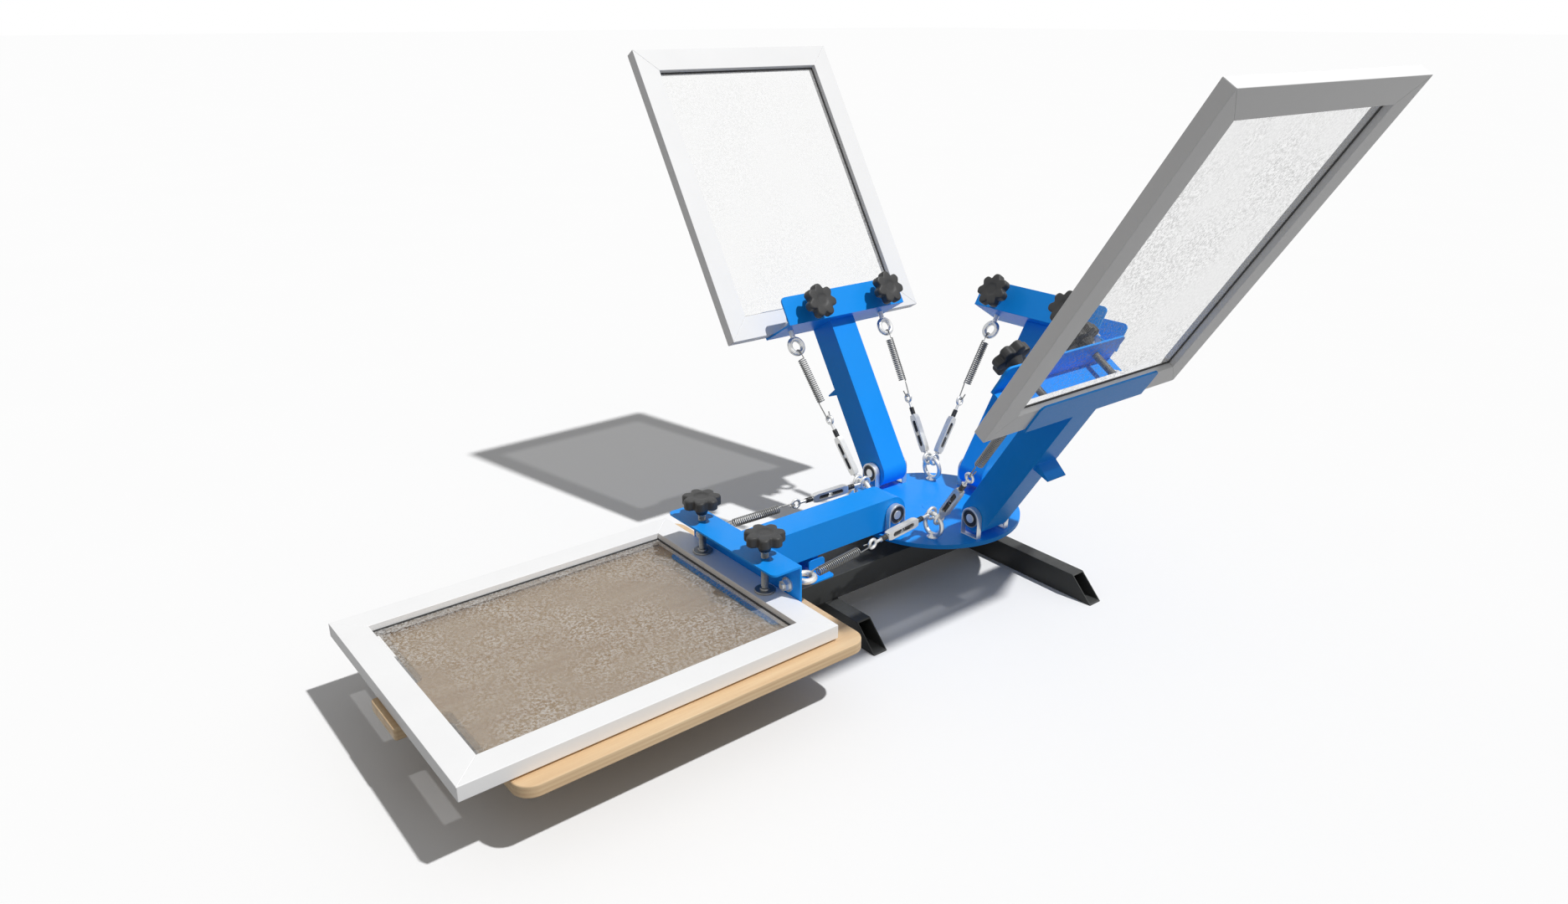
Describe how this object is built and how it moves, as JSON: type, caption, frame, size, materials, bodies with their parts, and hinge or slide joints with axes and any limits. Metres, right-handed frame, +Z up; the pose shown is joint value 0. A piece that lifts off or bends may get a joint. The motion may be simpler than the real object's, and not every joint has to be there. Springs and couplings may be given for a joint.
{
  "type": "tabletop screen printing press",
  "caption": "Tabletop screen printing press: spring-lifted print heads on a turntable swing framed mesh screens down onto a wooden platen.",
  "frame": {"origin": "middle of the rear foot's underside, on the bench", "axes": "+Z up, -Y along the lowered front head and the platen, +X to the right-hand head"},
  "size_m": [1.081, 1.1871, 0.7901],
  "materials": {
    "painted_blue": "bright blue gloss enamel",
    "painted_black": "satin black powder coat",
    "bare_steel": "turned steel",
    "zinc": "bright zinc plate",
    "bearing_black": "black oxide",
    "wood": "lacquered plywood",
    "frame_white": "white coated aluminium tube",
    "mesh": "stretched translucent mesh",
    "spring_steel": "dark spring wire",
    "knob_plastic": "moulded charcoal plastic"
  },
  "bodies": {
    "base": {"main_beam": "painted_black", "front_foot": "painted_black", "rear_foot": "painted_black", "spindle_post": "bare_steel", "spindle_cap": "painted_blue", "thrust_washer": "zinc", "registration_gate": "painted_blue", "platen_board": "wood", "platen_mounts": "painted_black"},
    "turntable": {"turntable_disc": "painted_blue", "hinge_brackets": "zinc", "hinge_bearings": "bearing_black", "hinge_pins": "zinc", "ring_bolts": "zinc"},
    "head_front": {"arm_front": "painted_blue", "clamp_front": "painted_blue", "eye_bolts_front": "zinc", "screen_frame_front": "frame_white", "screen_mesh_front": "mesh"},
    "link_front": {"turnbuckles_front": "zinc"},
    "spring_front": {"springs_front": "spring_steel"},
    "screw_front_a": {"knob_front_a": "knob_plastic", "clamp_screw_front_a": "spring_steel"},
    "screw_front_b": {"knob_front_b": "knob_plastic", "clamp_screw_front_b": "spring_steel"},
    "head_left": {"arm_left": "painted_blue", "clamp_left": "painted_blue", "eye_bolts_left": "zinc", "screen_frame_left": "frame_white", "screen_mesh_left": "mesh"},
    "link_left": {"turnbuckles_left": "zinc"},
    "spring_left": {"springs_left": "spring_steel"},
    "screw_left_a": {"knob_left_a": "knob_plastic", "clamp_screw_left_a": "spring_steel"},
    "screw_left_b": {"knob_left_b": "knob_plastic", "clamp_screw_left_b": "spring_steel"},
    "head_rear": {"arm_rear": "painted_blue", "clamp_rear": "painted_blue", "eye_bolts_rear": "zinc"},
    "link_rear": {"turnbuckles_rear": "zinc"},
    "spring_rear": {"springs_rear": "spring_steel"},
    "screw_rear_a": {"knob_rear_a": "knob_plastic", "clamp_screw_rear_a": "spring_steel"},
    "screw_rear_b": {"knob_rear_b": "knob_plastic", "clamp_screw_rear_b": "spring_steel"},
    "head_right": {"arm_right": "painted_blue", "clamp_right": "painted_blue", "eye_bolts_right": "zinc", "screen_frame_right": "frame_white", "screen_mesh_right": "mesh"},
    "link_right": {"turnbuckles_right": "zinc"},
    "spring_right": {"springs_right": "spring_steel"},
    "screw_right_a": {"knob_right_a": "knob_plastic", "clamp_screw_right_a": "spring_steel"},
    "screw_right_b": {"knob_right_b": "knob_plastic", "clamp_screw_right_b": "spring_steel"}
  },
  "joints": [
    {"name": "turntable_spin", "type": "hinge", "parent": "base", "child": "turntable", "pos_m": [0, -0.1123, 0], "axis": [0, 0, 1], "continuous": true},
    {"name": "head_lift_front", "type": "hinge", "parent": "turntable", "child": "head_front", "pos_m": [0, -0.224, 0.13765], "axis": [-1, 0, 0], "range_deg": [0, 58], "stiffness_Nm_per_rad": 3, "springref_deg": 114.59, "deforming": ["springs_front"]},
    {"name": "link_swing_front", "type": "hinge", "parent": "turntable", "child": "link_front", "pos_m": [0, -0.1913, 0.14541], "axis": [-1, 0, 0], "range_deg": [0, 52.9]},
    {"name": "spring_stretch_front", "type": "slide", "parent": "link_front", "child": "spring_front", "axis": [0, -0.9993, -0.0369], "range_m": [-0.02063, 0], "deforming": ["springs_front"]},
    {"name": "clamp_front_a", "type": "slide", "parent": "head_front", "child": "screw_front_a", "axis": [0, 0, 1], "range_m": [0, 0.02]},
    {"name": "clamp_front_b", "type": "slide", "parent": "head_front", "child": "screw_front_b", "axis": [0, 0, 1], "range_m": [0, 0.02]},
    {"name": "head_lift_left", "type": "hinge", "parent": "turntable", "child": "head_left", "pos_m": [-0.1117, -0.1123, 0.13765], "axis": [0, 1, 0], "range_deg": [-58, 0], "stiffness_Nm_per_rad": 5, "springref_deg": 91.67, "deforming": ["springs_left"]},
    {"name": "link_swing_left", "type": "hinge", "parent": "turntable", "child": "link_left", "pos_m": [-0.09009, -0.1123, 0.14196], "axis": [0, 1, 0], "range_deg": [-55, 0]},
    {"name": "spring_stretch_left", "type": "slide", "parent": "link_left", "child": "spring_left", "axis": [-0.569, 0, 0.8223], "range_m": [0, 0.01458], "deforming": ["springs_left"]},
    {"name": "clamp_left_a", "type": "slide", "parent": "head_left", "child": "screw_left_a", "axis": [0.848, 0, 0.5299], "range_m": [0, 0.02]},
    {"name": "clamp_left_b", "type": "slide", "parent": "head_left", "child": "screw_left_b", "axis": [0.848, 0, 0.5299], "range_m": [0, 0.02]},
    {"name": "head_lift_rear", "type": "hinge", "parent": "turntable", "child": "head_rear", "pos_m": [0, -0.0006, 0.13765], "axis": [1, 0, 0], "range_deg": [-58, 0], "stiffness_Nm_per_rad": 3, "springref_deg": 85.94, "deforming": ["springs_rear"]},
    {"name": "link_swing_rear", "type": "hinge", "parent": "turntable", "child": "link_rear", "pos_m": [0, -0.0333, 0.14541], "axis": [1, 0, 0], "range_deg": [-53.1, 0]},
    {"name": "spring_stretch_rear", "type": "slide", "parent": "link_rear", "child": "spring_rear", "axis": [0, 0.6076, 0.7943], "range_m": [0, 0.02182], "deforming": ["springs_rear"]},
    {"name": "clamp_rear_a", "type": "slide", "parent": "head_rear", "child": "screw_rear_a", "axis": [0, -0.848, 0.5299], "range_m": [-0.008, 0.02]},
    {"name": "clamp_rear_b", "type": "slide", "parent": "head_rear", "child": "screw_rear_b", "axis": [0, -0.848, 0.5299], "range_m": [-0.008, 0.02]},
    {"name": "head_lift_right", "type": "hinge", "parent": "turntable", "child": "head_right", "pos_m": [0.1117, -0.1123, 0.13765], "axis": [0, -1, 0], "range_deg": [-58, 0], "stiffness_Nm_per_rad": 5, "springref_deg": 91.67, "deforming": ["springs_right"]},
    {"name": "link_swing_right", "type": "hinge", "parent": "turntable", "child": "link_right", "pos_m": [0.09009, -0.1123, 0.14196], "axis": [0, -1, 0], "range_deg": [-55, 0]},
    {"name": "spring_stretch_right", "type": "slide", "parent": "link_right", "child": "spring_right", "axis": [0.569, 0, 0.8223], "range_m": [0, 0.01458], "deforming": ["springs_right"]},
    {"name": "clamp_right_a", "type": "slide", "parent": "head_right", "child": "screw_right_a", "axis": [-0.848, 0, 0.5299], "range_m": [0, 0.02]},
    {"name": "clamp_right_b", "type": "slide", "parent": "head_right", "child": "screw_right_b", "axis": [-0.848, 0, 0.5299], "range_m": [0, 0.02]}
  ],
  "couplings": [
    {"joint": "link_swing_front", "follows": "head_lift_front", "ratio": 0.89476},
    {"joint": "spring_stretch_front", "follows": "head_lift_front", "m_per_rad": -0.019387},
    {"joint": "link_swing_left", "follows": "head_lift_left", "ratio": 0.93097},
    {"joint": "spring_stretch_left", "follows": "head_lift_left", "m_per_rad": -0.013418},
    {"joint": "link_swing_rear", "follows": "head_lift_rear", "ratio": 0.89832},
    {"joint": "spring_stretch_rear", "follows": "head_lift_rear", "m_per_rad": -0.020568},
    {"joint": "link_swing_right", "follows": "head_lift_right", "ratio": 0.93097},
    {"joint": "spring_stretch_right", "follows": "head_lift_right", "m_per_rad": -0.013418}
  ]
}
